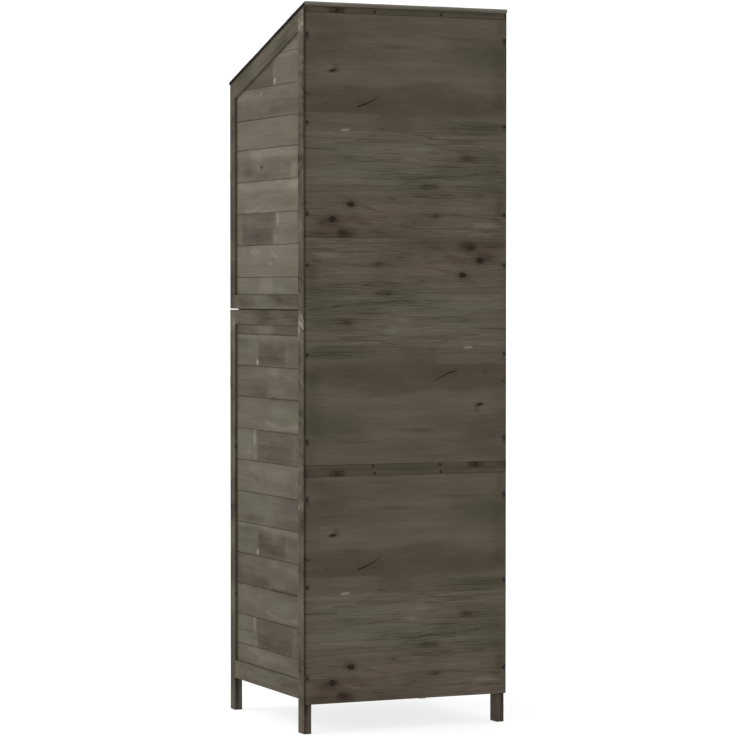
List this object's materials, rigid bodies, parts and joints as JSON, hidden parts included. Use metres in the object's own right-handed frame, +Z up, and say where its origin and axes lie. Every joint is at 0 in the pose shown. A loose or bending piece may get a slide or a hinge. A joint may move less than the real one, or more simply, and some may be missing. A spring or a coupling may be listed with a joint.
{
  "type": "tool shed",
  "caption": "Tall narrow wooden tool shed with framed board sides, sheet back, single-slope felt roof, and an upper and a lower door on hinges with turn buttons.",
  "frame": {"origin": "on the floor, under the middle of the bounding box", "axes": "+Z up; front with the doors towards -Y, back towards +Y; +X is the right side seen from the front"},
  "size_m": [0.536, 0.526, 1.745],
  "materials": {
    "frame_wood": "stained dark grey-brown, matte",
    "board_wood": "stained grey-brown, matte",
    "back_sheet": "stained dark brown-grey, matte",
    "sheet_wood": "thin plywood, matte",
    "turned_wood": "stained, smooth",
    "felt": "bitumen roofing felt, granular, matte",
    "hinge_metal": "black powder coat",
    "fasteners": "weathered zinc"
  },
  "bodies": {
    "carcass": {"back_edge_strips": "back_sheet", "back_nails": "fasteners", "button_pivot_screws": "fasteners", "button_washers": "fasteners", "divider_bearers": "frame_wood", "divider_panel": "sheet_wood", "door_stops": "frame_wood", "felt_nails": "fasteners", "floor_bearers": "frame_wood", "floor_boards": "board_wood", "frame_hinge_screws": "fasteners", "front_bottom_rail": "frame_wood", "front_lower_top_rail": "frame_wood", "front_top_rail": "frame_wood", "front_upper_bottom_rail": "frame_wood", "hinge_frame_leaves": "hinge_metal", "hinge_pins": "hinge_metal", "lower_back_panel": "back_sheet", "lower_left_boards": "board_wood", "lower_left_bottom_rail": "frame_wood", "lower_left_front_post": "frame_wood", "lower_left_rear_post": "frame_wood", "lower_left_top_rail": "frame_wood", "lower_right_boards": "board_wood", "lower_right_bottom_rail": "frame_wood", "lower_right_front_post": "frame_wood", "lower_right_rear_post": "frame_wood", "lower_right_top_rail": "frame_wood", "middle_back_panel": "back_sheet", "rear_rails": "frame_wood", "roof_boards": "board_wood", "roof_felt": "felt", "side_cleats": "frame_wood", "upper_back_panel": "back_sheet", "upper_left_boards": "board_wood", "upper_left_bottom_rail": "frame_wood", "upper_left_front_post": "frame_wood", "upper_left_rear_post": "frame_wood", "upper_left_sloped_rail": "frame_wood", "upper_right_boards": "board_wood", "upper_right_bottom_rail": "frame_wood", "upper_right_front_post": "frame_wood", "upper_right_rear_post": "frame_wood", "upper_right_sloped_rail": "frame_wood"},
    "upper_door": {"upper_door_boards": "board_wood", "upper_door_cleats": "frame_wood", "upper_door_hinge_leaves": "hinge_metal", "upper_door_knob": "turned_wood", "upper_door_rails": "frame_wood", "upper_door_screws": "fasteners", "upper_door_stiles": "frame_wood"},
    "lower_door": {"lower_door_boards": "board_wood", "lower_door_cleats": "frame_wood", "lower_door_hinge_leaves": "hinge_metal", "lower_door_knob": "turned_wood", "lower_door_rails": "frame_wood", "lower_door_screws": "fasteners", "lower_door_stiles": "frame_wood"},
    "upper_button": {"upper_turn_button": "turned_wood"},
    "lower_button": {"lower_turn_button": "turned_wood"}
  },
  "joints": [
    {"name": "upper_door_swing", "type": "hinge", "parent": "carcass", "child": "upper_door", "pos_m": [-0.2445, -0.2383, 1.289], "axis": [0, 0, -1], "range_deg": [0, 160]},
    {"name": "lower_door_swing", "type": "hinge", "parent": "carcass", "child": "lower_door", "pos_m": [-0.2445, -0.2383, 0.551], "axis": [0, 0, -1], "range_deg": [0, 160]},
    {"name": "upper_button_turn", "type": "hinge", "parent": "carcass", "child": "upper_button", "pos_m": [0.256, -0.239, 1.355], "axis": [0, 1, 0], "range_deg": [0, 90]},
    {"name": "lower_button_turn", "type": "hinge", "parent": "carcass", "child": "lower_button", "pos_m": [0.256, -0.239, 0.835], "axis": [0, 1, 0], "range_deg": [0, 90]}
  ]
}
